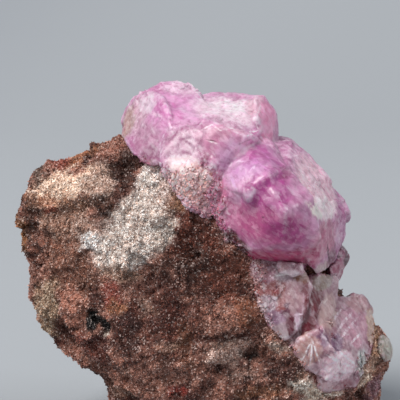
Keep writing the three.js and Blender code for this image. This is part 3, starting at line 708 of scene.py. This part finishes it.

# Thin veils, edges and cracks, and a few painted highlights and painted shade: the pixels at both ends, half
# width in millimetres, colour and share.
upper_streaks = {
    "slab left edge": ((166, 131), (160, 143), 0.1, (246, 226, 242), 0.6),
    "slab left edge low": ((160, 143), (161, 157), 0.1, (240, 216, 234), 0.5),
    # A white band at the slab's foot: partly its own white, partly a painted highlight.
    "slab band": ((168, 163), (196, 160), 0.3, (250, 238, 250), 0.5),
    "slab crease": ((198, 147), (204, 163), 0.14, (158, 84, 118), 0.8),
    "ragged edge 1": ((201, 130), (212, 124), 0.12, (252, 238, 244), 0.7),
    "ragged edge 2": ((212, 124), (220, 130), 0.12, (252, 240, 246), 0.7),
    "ragged edge 3": ((220, 130), (228, 127), 0.16, (255, 246, 250), 0.8),
    "ragged edge 4": ((228, 127), (246, 135), 0.18, (255, 246, 250), 0.8),
    "ragged edge 5": ((246, 135), (258, 130), 0.16, (255, 246, 250), 0.8),
    "block right edge": ((261, 103), (255, 121), 0.1, (252, 236, 244), 0.6),
    "block right edge low": ((255, 121), (259, 131), 0.1, (252, 236, 244), 0.6),
    "crack": ((206, 139), (216, 141), 0.12, (120, 62, 78), 0.8),
    "light under crack": ((208, 141), (217, 143), 0.12, (252, 236, 240), 0.8),
    "crown fleck": ((150, 112), (163, 116), 0.26, (246, 214, 232), 0.7),
    "crown fleck low": ((163, 129), (186, 124), 0.2, (244, 206, 232), 0.6),
    "crystal top": ((233, 146), (256, 134), 0.14, (164, 96, 136), 0.5),
    "crystal left edge": ((233, 146), (223, 164), 0.12, (230, 190, 220), 0.5),
    "crystal left edge low": ((223, 164), (224, 186), 0.1, (222, 178, 212), 0.4),
    "bright ridge": ((259, 134), (270, 148), 0.1, (236, 190, 222), 0.6),
    "bright ridge low": ((270, 148), (288, 171), 0.09, (232, 180, 214), 0.6),
    "fine line": ((252, 156), (273, 173), 0.1, (226, 158, 214), 0.7),
    "fine line high": ((262, 150), (280, 168), 0.09, (222, 150, 208), 0.6),
    # Along the cleavage step: a painted highlight on its edge, and below it the crystal's deeper magenta with
    # painted shade under the step.
    "step edge": ((250, 183), (274, 172), 0.1, (228, 172, 214), 0.6),
    "step edge right": ((274, 172), (284, 167), 0.1, (220, 150, 198), 0.5),
    "under the step": ((256, 186), (282, 173), 0.4, (160, 56, 132), 0.7),
    "fleck": ((236, 162), (243, 160), 0.2, (248, 226, 246), 0.8),
    "fleck low": ((249, 172), (255, 164), 0.2, (246, 214, 240), 0.8),
    "fleck left": ((230, 174), (236, 188), 0.24, (236, 196, 236), 0.6),
    "white wisp": ((306, 202), (322, 216), 0.5, (250, 238, 232), 0.9),
    "wisp high": ((286, 184), (300, 200), 0.22, (226, 184, 210), 0.6),
    "flank line": ((292, 152), (318, 184), 0.12, (226, 192, 208), 0.6),
    "flank line low": ((300, 158), (330, 198), 0.1, (148, 96, 124), 0.5),
    "flank line right": ((310, 158), (336, 196), 0.12, (230, 196, 208), 0.5),
    "belly seam": ((252, 246), (274, 241), 0.14, (206, 120, 170), 0.6),
    "belly foot": ((252, 248), (292, 254), 0.2, (196, 104, 150), 0.7),
    # A painted sheen across the belly.
    "belly sheen": ((226, 238), (246, 248), 0.3, (198, 138, 172), 0.6),
    "lip edge": ((300, 262), (316, 272), 0.16, (216, 178, 176), 0.8),
    "corner crack": ((327, 243), (329, 262), 0.16, (74, 22, 40), 0.8),
    # A painted highlight at the corner.
    "corner glint": ((334, 238), (339, 231), 0.16, (240, 196, 210), 0.8),
}

# How rough and frosted the mass is in places, from 0, glassy, to 1 and more, granular: pixel, reach and
# roughness.
upper_frost = {
    "crown": ((176, 110), 3.4, 0.3),
    "crown rim": ((186, 88), 2.0, 0.7),
    "shoulder": ((136, 114), 3.0, 0.62),
    "mauve": ((150, 148), 2.4, 0.4),
    "slab": ((184, 142), 3.0, 0.42),
    "slab foot": ((182, 162), 1.6, 0.3),
    "pale block": ((224, 108), 3.4, 0.62),
    "pale block right": ((246, 112), 3.0, 0.62),
    "ragged edge": ((232, 128), 2.0, 0.7),
    "rose slope": ((222, 139), 2.0, 0.15),
    "right lobe": ((266, 122), 2.6, 0.15),
    "lilac face": ((240, 164), 3.4, 0.22),
    "upper magenta": ((270, 160), 2.8, 0.12),
    "magenta band": ((268, 194), 3.4, 0.15),
    "belly": ((256, 226), 4.4, 0.15),
    "belly right": ((288, 230), 4.0, 0.18),
    "flank": ((312, 178), 4.6, 0.6),
    "flank rim": ((330, 200), 4.2, 0.6),
    "flank foot": ((322, 242), 3.0, 0.35),
    "underside": ((272, 258), 3.4, 0.12),
    "grains at the foot high": ((224, 229), 1.0, 1.4),
    "grains at the foot": ((232, 238), 1.2, 1.4),
    "grains at the foot low": ((242, 247), 1.2, 1.4),
    "apron": ((188, 186), 3.4, 1.1),
    "apron right": ((200, 192), 3.0, 1.1),
    "apron foot": ((210, 206), 2.6, 1.0),
    "small rhomb": ((249, 196), 0.9, 0.5),
}
even_frost = 0.45  # away from all of these
root_tone = (196, 146, 142)  # flecks beside the rock
calcite_clumps = 0.2

# Places that are rounded off: pixel and reach in millimetres.
worn_places = {
    "foot of the cleavage step": ((249, 194), 3.0),
    "cleavage step": ((256, 184), 2.6),
    "cleavage step middle": ((266, 176), 2.4),
    "cleavage step right": ((280, 170), 2.0),
    "crown's ridge": ((170, 108), 2.4),
    "slab": ((183, 143), 4.0),
    "slab right": ((196, 140), 2.6),
}


def frost_at(spots, frost):
    """The roughness of each spot, blended from the places whose roughness is known."""
    total = np.full(len(spots), 0.05)
    blend = total * even_frost
    for pixel, reach, amount in frost.values():
        away = np.linalg.norm(spots - np.array(seen_at(*pixel)), axis=1)
        weight = np.exp(-(away / reach) ** 2)
        total += weight
        blend += weight * amount
    return blend / total


# Cleavage. Calcite breaks into rhombs that all lie the same way within a crystal, so a broken face is a
# flight of low, lined-up steps. Each direction is square to one set of cleavage planes.
cleavage = Matrix(((0.62, 0.2, 0.76), (0.82, -0.35, -0.45), (0.15, 0.93, -0.2)))
step_sizes = ((2.6, 0.16), (1.1, 0.08))
face_size = 3.6
face_rise = 0.3


def stepped(place):
    """Height of broken rhombs that stand a little higher or lower than their neighbours."""
    wander = place + noise.noise_vector(place / 3) * 0.12
    return sum((noise.cell(cleavage @ wander / size + Vector((5, 2, 8))) - 0.5) * rise
               for size, rise in step_sizes)


def granular(place):
    """Height of a face that is roughened by crumbs."""
    return chipped(place, 0.9, 0.09) + noise.noise(place / 0.5) * 0.03


def gently_faceted(place):
    """Height of flat faces that meet in straight, blunt edges along the three cleavage directions."""
    wander = place + noise.noise_vector(place / 6) * 2
    faces = sum(abs(side % 1 - 0.5) for side in cleavage @ wander / face_size)
    return faces * face_rise + noise.noise(place / 5) * 0.12


def grown(piece, frost, tones, stray, fade, zones):
    """Gives a calcite mass its broken surface and stores its colour and how rough and how proud it is."""
    spots = spots_of(piece)
    rough = frost_at(spots, frost)
    to_rock = distance_to(spots, ("host_rock",))
    rise = calcite_growth + seam_growth * eased(to_rock, 1.0, 0.3)
    rise = rise + everywhere(spots, gently_faceted)
    rise = rise + everywhere(spots, stepped) * eased(rough, 0.1, 0.7)
    rise = rise + everywhere(spots, granular) * eased(rough, 0.3, 0.9)
    moved(piece, spots + outs_of(piece) * rise[:, None])
    carry(piece, "frost", rough)
    carry(piece, "seam", eased(to_rock, 1.6, 0.3))
    ragged = to_rock + everywhere(spots, lambda place: noise.noise(place / 1.2))
    carry(piece, "rooted", np.maximum(eased(ragged, 1.3, 0.5), eased(rough, 0.68, 0.88)))
    carry(piece, "flaky", eased(rough, 0.58, 0.9))
    carry(piece, "edge", proudness(piece))
    near_rock = eased(to_rock, 1.1, 0.2) * 0.5
    stained(piece, spots, (*tones, root_tone), calcite_clumps, stray, fade, zones, near_rock)
    piece.data.shade_smooth()


def smoothed(piece, spots, rounds, share):
    """The vertices moved towards the middle of their neighbours, by a share of the way in each round."""
    ends = np.zeros(len(piece.data.edges) * 2, dtype=np.int32)
    piece.data.edges.foreach_get("vertices", ends)
    ends = ends.reshape(-1, 2)
    number = np.bincount(ends.ravel(), minlength=len(spots))[:, None]
    for _ in range(rounds):
        total = np.zeros_like(spots)
        for side in range(3):
            total[:, side] = np.bincount(ends[:, 0], spots[ends[:, 1], side], len(spots))
            total[:, side] += np.bincount(ends[:, 1], spots[ends[:, 0], side], len(spots))
        spots = spots + (total / np.maximum(number, 1) - spots) * share
    return spots


def proudness(piece):
    """How far each vertex stands out from its neighbours, in tenths of a millimetre, from -1 to 1."""
    spots = spots_of(piece)
    proud = ((spots - smoothed(piece, spots, 3, 1)) * outs_of(piece)).sum(1) * 10
    return np.clip(proud, -1, 1)


def worn(piece, places, rounds):
    """Rounds a piece off around the given places."""
    spots = spots_of(piece)
    nearness = np.zeros(len(spots))
    for pixel, reach in places.values():
        away = np.linalg.norm(spots - np.array(seen_at(*pixel)), axis=1)
        nearness = np.maximum(nearness, eased(away, reach, reach * 0.5))
    moved(piece, smoothed(piece, spots, rounds, nearness[:, None] * 0.5))


def swollen(piece, pixel, reach, height):
    """Swells a piece around a place, so that it leans on the crystals that it has grown against."""
    spots = spots_of(piece)
    away = np.linalg.norm(spots - np.array(seen_at(*pixel)), axis=1)
    moved(piece, spots + outs_of(piece) * (eased(away, reach, reach * 0.4) * height)[:, None])


streak_depth = 1.5  # a line is drawn this far in front of and behind its two ends
streak_overrun = 0.55  # half of a line's length and a little more


def streaked(finish, colour, place, streaks):
    """The colour with thin lines laid over it, each between two places seen in the photograph."""
    for start_pixel, end_pixel, half_width, tone, share in streaks.values():
        start = seen_at(*start_pixel)
        end = seen_at(*end_pixel)
        run = end - start
        turn = -math.degrees(math.atan2(run.z, run.x))
        reach = (math.hypot(run.x, run.z) * streak_overrun, streak_depth + abs(run.y), half_width)
        mask = finish.spot(place, (start + end) / 2, reach, turn, 0.3)
        colour = finish.mix(mask * share, colour, paint(*tone))
    return colour


def calcite_finish(name, streaks, veil_turn):
    """Cloudy glass with white veils and thin lines, frosted and chipped in places; proud edges are whitened,
    partly as painted highlight, and hollows are darkened as painted shade.
    """
    finish = Finish(name)
    place = finish.place()
    nearly = finish.wandering(place, 0.9, 0.3)
    frost = finish.carried("frost")
    edge = finish.carried("edge")
    seam = finish.carried("seam")
    colour = finish.stain()
    darker = finish.mix(1.0, colour, paint(196, 150, 176), "MULTIPLY")
    paler = finish.mix(0.65, colour, paint(255, 246, 252))
    murk = finish.step(finish.cloud(place, 0.9, 5, 0.65), 0.48, 0.7)
    colour = finish.mix(murk * 0.4, colour, darker)
    block_place = finish.stretched(place, veil_turn, (1.5, 1.0, 0.7))
    for block_size, share in ((1.5, 0.2), (0.6, 0.2)):
        block = finish.grains(block_place, block_size, "Color")
        colour = finish.mix(finish.step(block, 0.5, 0.8) * share, colour, paler)
        colour = finish.mix(finish.step(block, 0.48, 0.2) * share, colour, darker)
    veil_place = finish.stretched(nearly, veil_turn, (1.0, 2.6, 0.6))
    veil = finish.step(finish.cloud(veil_place, 1.4, 4), 0.52, 0.74)
    cloudy = 0.14 + 0.45 * finish.step(frost, 0.1, 0.5)
    colour = finish.mix(veil * cloudy, colour, paler)
    speckle = finish.cloud(place, 0.48, 3, 0.7)
    frosted = 0.14 + 0.5 * finish.step(frost, 0.15, 0.8)
    colour = finish.mix(finish.step(speckle, 0.54, 0.68) * frosted, colour, paler)
    colour = finish.mix(finish.step(speckle, 0.46, 0.34) * frosted, colour, darker)
    unbroken = 0.2 + 0.8 * finish.step(finish.cloud(place, 0.6, 3), 0.42, 0.56)
    colour = finish.mix(unbroken, colour, streaked(finish, colour, nearly, streaks))
    # Proud edges are whitened: partly frosted, chipped edges, partly a painted highlight.
    chips = finish.step(edge, 0.15, 0.8) * finish.step(finish.cloud(place, 0.8, 3), 0.42, 0.62)
    colour = finish.mix(chips * 0.35, colour, paint(252, 238, 246))
    # Hollows between proud points are darkened: painted shade.
    painted_hollow_shade = finish.step(edge, -0.15, -0.8)
    colour = finish.mix(painted_hollow_shade * 0.25, colour, darker)
    rusty = seam * finish.step(finish.cloud(place, 0.9, 3), 0.46, 0.6)
    colour = finish.mix(rusty * 0.5, colour, paint(150, 104, 92))
    relief = speckle * frost + finish.cloud(place, 1.1, 3)
    bump = finish.node("ShaderNodeBump", {}, {
        "Strength": 0.3, "Distance": 0.08 * millimetre, "Height": relief})
    finish.feed(Base_Color=colour, Roughness=0.26 + 0.3 * frost, Normal=bump, IOR=1.6, Specular_IOR_Level=0.4,
                Transmission_Weight=0.25, Subsurface_Weight=0.7, Subsurface_Radius=(1.0, 0.75, 0.9),
                Subsurface_Scale=1.2 * millimetre)
    return finish


upper = fine_copy("upper_calcite", "upper_crystals", upper_mesh_size, gap_closing)
upper_tones = ((194, 120, 166), (218, 160, 196))
worn(upper, worn_places, rounds=30)
swollen(upper, (272, 254), reach=4.5, height=0.3)
grown(upper, upper_frost, upper_tones, stray=1.2, fade=0.35, zones=upper_zones)
upper_finish = calcite_finish("pink cobaltoan calcite", upper_streaks, veil_turn=(20, 35, 25))
belongs(upper, upper_finish)
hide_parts("upper_calcite")

# Small rhombs on the frosted faces lie the way the cleavage does, and sugary grains cover the mass's root.
flake_spacing = 0.9
flake_sizes = ((0.3, 0.25, 0.2), (1.0, 0.8, 0.5))
flake_lean = 0.2
root_grain_spacing = 0.26
flake = small_crystal("flake", 6)


def crusted(piece, name, finish, seed):
    """Strews a calcite mass with small rhombs and with grains along its root."""
    flakes = scattered(piece, f"{name}_flakes", "flaky", flake, flake_spacing, flake_sizes, flake_lean, seed,
                       cleavage[0])
    root_grains = scattered(piece, f"{name}_root_grains", "rooted", rock_grain, root_grain_spacing,
                            grain_sizes, any_way, seed + 1)
    belongs(flakes, finish)
    belongs(root_grains, grain_finish)


crusted(upper, "upper", upper_finish, 11)

# Lower calcite. A second, greyer group of crystals grown down the rock's right edge: mottled pinkish blocks,
# two clear mauve windows with a white wedge between them, and pink lobes streaked with white.
lower_mesh_size = 0.21
lower_gap_closing = 0.5
lower_zones = {
    "mottled block": ((272, 292), (3.0, 5, 4.4), 15, (170, 102, 100), 1.0),
    "hazy top": ((266, 268), (2.2, 4, 2.0), 0, (152, 104, 120), 0.9),
    "pale middle": ((294, 294), (1.5, 4, 3.0), 8, (196, 160, 164), 0.9),
    "top rhomb": ((287, 275), (1.7, 3, 1.2), 0, (196, 172, 180), 0.9),
    "pale left": ((266, 304), (1.8, 3, 1.3), -20, (204, 186, 194), 0.8),
    "mauve left": ((275, 317), (1.8, 3, 1.1), 10, (166, 134, 158), 0.8),
    "pale foot": ((283, 331), (1.6, 3, 1.1), 30, (192, 170, 174), 0.8),
    "left window": ((292, 327), (0.8, 3, 2.4), -18, (104, 14, 44), 1.0),
    "left window top": ((286, 311), (0.6, 3, 1.2), 10, (116, 58, 80), 0.9),
    "right window": ((313, 304), (1.9, 4, 2.6), 20, (118, 8, 34), 1.0),
    "right window foot": ((306, 322), (1.4, 3, 2.4), 14, (122, 8, 38), 1.0),
    "right window top": ((307, 290), (0.8, 3, 1.1), 0, (142, 82, 92), 0.9),
    "wedge": ((298, 323), (0.5, 3, 1.6), -8, (214, 192, 204), 1.0),
    "grey block": ((328, 312), (1.9, 4, 3.2), 22, (208, 172, 168), 1.0),
    "olive top": ((322, 283), (1.8, 4, 1.1), 0, (164, 146, 130), 0.9),
    "rust top": ((303, 278), (1.5, 3, 0.8), 5, (142, 84, 56), 1.0),
    "pink lobe": ((354, 324), (3.0, 5, 4.0), 25, (206, 150, 168), 1.0),
    "lobe top": ((356, 305), (2.2, 4, 1.1), 15, (212, 166, 170), 0.9),
    "lobe rim": ((370, 326), (0.9, 5, 2.6), 0, (208, 178, 156), 0.9),
    "mauve patch": ((322, 340), (0.8, 3, 1.2), -15, (132, 86, 118), 0.9),
    "mauve patch right": ((336, 343), (1.0, 3, 1.4), -20, (134, 88, 122), 0.9),
    "fan": ((309, 350), (1.9, 4, 2.3), 0, (194, 142, 134), 1.0),
    "pink foot": ((339, 367), (3.4, 5, 2.4), 10, (255, 222, 230), 1.0),
    "mauve foot": ((343, 385), (1.6, 4, 0.8), 0, (168, 108, 118), 0.9),
    "white edge": ((361, 362), (0.8, 4, 2.2), 5, (210, 208, 206), 0.9),
    # A near-black strip in the gap between the upper and lower crystals: painted shadow.
    "dark gap": ((314, 275), (2.6, 3, 0.75), 3, (38, 34, 26), 1.0),
}
lower_streaks = {
    "bright line": ((276, 275), (291, 274), 0.14, (255, 250, 250), 1.0),
    "bright arc": ((277, 273), (286, 270), 0.1, (236, 214, 218), 0.8),
    "dark nick": ((276, 283), (277, 290), 0.13, (104, 66, 82), 0.8),
    "window sill": ((294, 315), (303, 314), 0.14, (244, 226, 236), 0.9),
    "window edge": ((302, 313), (304, 294), 0.12, (206, 172, 186), 0.7),
    "wedge left edge": ((295, 316), (298, 333), 0.12, (226, 204, 216), 0.8),
    "wedge right edge": ((302, 315), (300, 333), 0.12, (226, 204, 216), 0.8),
    "window foot": ((295, 339), (303, 336), 0.12, (222, 198, 206), 0.8),
    "window corner": ((322, 300), (317, 312), 0.14, (222, 196, 200), 0.7),
    "lobe streak": ((338, 330), (351, 311), 0.28, (250, 232, 240), 0.9),
    "lobe streak 2": ((341, 337), (356, 318), 0.24, (248, 226, 236), 0.9),
    "lobe streak 3": ((350, 343), (359, 333), 0.22, (248, 230, 238), 0.9),
    "lobe streak 4": ((333, 320), (341, 308), 0.24, (244, 224, 232), 0.9),
    "lobe streak 5": ((352, 330), (364, 314), 0.12, (184, 134, 158), 0.6),
    "fan ray": ((311, 341), (302, 360), 0.16, (250, 244, 248), 0.9),
    "fan ray 2": ((312, 341), (310, 362), 0.16, (250, 244, 248), 0.9),
    "fan ray 3": ((313, 341), (319, 361), 0.16, (250, 244, 248), 0.9),
    "fan gap": ((309, 346), (306, 360), 0.14, (140, 112, 124), 0.8),
    "fan gap 2": ((313, 347), (314, 361), 0.14, (140, 112, 124), 0.8),
    "foot streak": ((327, 355), (355, 368), 0.2, (255, 244, 252), 0.9),
    "foot streak 2": ((339, 350), (356, 365), 0.18, (255, 244, 252), 0.9),
    "foot streak 3": ((325, 365), (342, 357), 0.12, (236, 214, 234), 0.7),
    "patch edge": ((330, 351), (341, 350), 0.12, (96, 64, 100), 0.8),
    "green line": ((360, 352), (361, 370), 0.2, (42, 78, 72), 1.0),
    "white beside line": ((363, 350), (364, 370), 0.22, (236, 240, 236), 0.8),
}
lower_frost = {
    "mottled block": ((268, 298), 2.4, 0.7),
    "hazy top": ((266, 268), 2.0, 0.6),
    "windows": ((308, 312), 2.2, 0.08),
    "left window": ((291, 326), 1.2, 0.1),
    "grey block": ((328, 308), 2.4, 0.4),
    "lobe": ((352, 326), 3.2, 0.5),
    "fan": ((309, 350), 2.0, 0.5),
    "foot": ((341, 366), 2.6, 0.6),
    "white edge": ((362, 364), 1.4, 0.9),
}
lower = fine_copy("lower_calcite", "lower_crystals", lower_mesh_size, lower_gap_closing)
lower_tones = ((168, 118, 132), (200, 160, 168))
swollen(lower, (268, 268), reach=3.4, height=0.7)
grown(lower, lower_frost, lower_tones, stray=0.7, fade=0.15, zones=lower_zones)
lower_finish = calcite_finish("grey-pink cobaltoan calcite", lower_streaks, veil_turn=(10, 60, 15))
belongs(lower, lower_finish)
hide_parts("lower_calcite")
crusted(lower, "lower", lower_finish, 21)
bpy.data.objects.remove(rock_grain)
bpy.data.objects.remove(flake)

# Edge crystal. One dark rose crystal of calcite that has grown out past the right side, in the gap between
# the two groups, with a dark, stained outline.
edge_mesh_size = 0.18
edge_zones = {
    "dark rim": ((345, 258), (0.6, 6, 2.4), -25, (74, 34, 48), 0.8),
    "rose middle": ((338, 256), (0.9, 5, 1.6), 0, (166, 92, 120), 0.8),
}
edge_crystal = fine_copy("edge_crystal", "edge_rhomb", edge_mesh_size)
edge_tones = ((132, 60, 84), (172, 96, 120))
grown(edge_crystal, {}, edge_tones, stray=1.0, fade=0.3, zones=edge_zones)
belongs(edge_crystal, calcite_finish("dark rose calcite", {}, veil_turn=(0, 30, 0)))
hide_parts("edge_crystal")

# Rim plate. A small, clear plate of grey-green calcite, plain all over, that has grown on the porous right
# rim of the rock.
rim_mesh_size = 0.14
rim_plate = fine_copy("rim_plate", "rim_clear_plate", rim_mesh_size)
rim_tones = ((150, 152, 134), (192, 188, 172))
grown(rim_plate, {}, rim_tones, stray=1.0, fade=0.3, zones={})
belongs(rim_plate, calcite_finish("grey-green calcite", {}, veil_turn=(0, 60, 0)))
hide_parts("rim_plate")

# Studio. A pale grey sheet that runs under the specimen and curves up behind it, a broad soft light from the
# upper left, a weaker one from the right and a pale surrounding.
sheet_half_width = 2.5
sheet_front = -2.0
sheet_bend = 0.35
bend_radius = 0.9
sheet_top = 2.0
sheet_shading = (450, 1250)  # where the darker tone starts and is full, in millimetres
form = bmesh.new()
line = [form.verts.new((side * sheet_half_width, sheet_front, 0)) for side in (-1, 1)]
first = form.edges.new(line)
run = bmesh.ops.extrude_edge_only(form, edges=[first])["geom"]
front_verts = [item for item in run if isinstance(item, bmesh.types.BMVert)]
bmesh.ops.translate(form, verts=front_verts, vec=(0, sheet_bend - sheet_front, 0))
front_edge = [edge for edge in form.edges if all(end in front_verts for end in edge.verts)]
bend = bmesh.ops.spin(form, geom=front_verts + front_edge, cent=(0, sheet_bend, bend_radius), axis=(1, 0, 0),
                      angle=math.radians(90), steps=32)["geom_last"]
last_edge = [item for item in bend if isinstance(item, bmesh.types.BMEdge)]
back = bmesh.ops.extrude_edge_only(form, edges=last_edge)["geom"]
bmesh.ops.translate(form, verts=[item for item in back if isinstance(item, bmesh.types.BMVert)],
                    vec=(0, 0, sheet_top))
bmesh.ops.recalc_face_normals(form, faces=form.faces)
sheet_mesh = bpy.data.meshes.new("studio_sheet")
form.to_mesh(sheet_mesh)
form.free()
sheet_mesh.shade_smooth()
studio_sheet = bpy.data.objects.new("studio_sheet", sheet_mesh)
bpy.context.scene.collection.objects.link(studio_sheet)
sheet_finish = Finish("pale grey sheet")
sheet_place = sheet_finish.place()
sheet_across = sheet_finish.node("ShaderNodeSeparateXYZ", {}, {"Vector": sheet_place}, 0)
sheet_back = sheet_finish.node("ShaderNodeSeparateXYZ", {}, {"Vector": sheet_place}, 1)
# The sheet is painted darker towards the back left: painted shade across the backdrop.
shade = sheet_finish.step(sheet_back - 3 * sheet_across, *sheet_shading)  # darker towards the back left
sheet_paint = sheet_finish.mix(shade, paint(160, 164, 168), paint(141, 145, 151))
sheet_finish.feed(Base_Color=sheet_paint, Roughness=0.9)
sheet_mesh.materials.append(sheet_finish.material)


def soft_light(name, place, size, power, tint):
    """A square soft light in metres and watts, turned to face the specimen."""
    data = bpy.data.lights.new(name, "AREA")
    data.shape = "SQUARE"
    data.size = size
    data.energy = power
    data.color = tint
    light = bpy.data.objects.new(name, data)
    light.location = place
    light.rotation_euler = (Vector((0, 0, 0.03)) - Vector(place)).to_track_quat("-Z", "Y").to_euler()
    bpy.context.scene.collection.objects.link(light)


soft_light("key light", (-1.0, -0.95, 1.75), size=1.0, power=56.0, tint=(1.0, 0.98, 0.96))
soft_light("right light", (1.6, -0.4, 1.0), size=0.8, power=10.0, tint=(0.97, 0.98, 1.0))
world = bpy.data.worlds.new("pale surrounding")
world.use_nodes = True
world.node_tree.nodes["Background"].inputs["Color"].default_value = (0.8, 0.84, 0.9, 1)
world.node_tree.nodes["Background"].inputs["Strength"].default_value = 0.5
bpy.context.scene.world = world
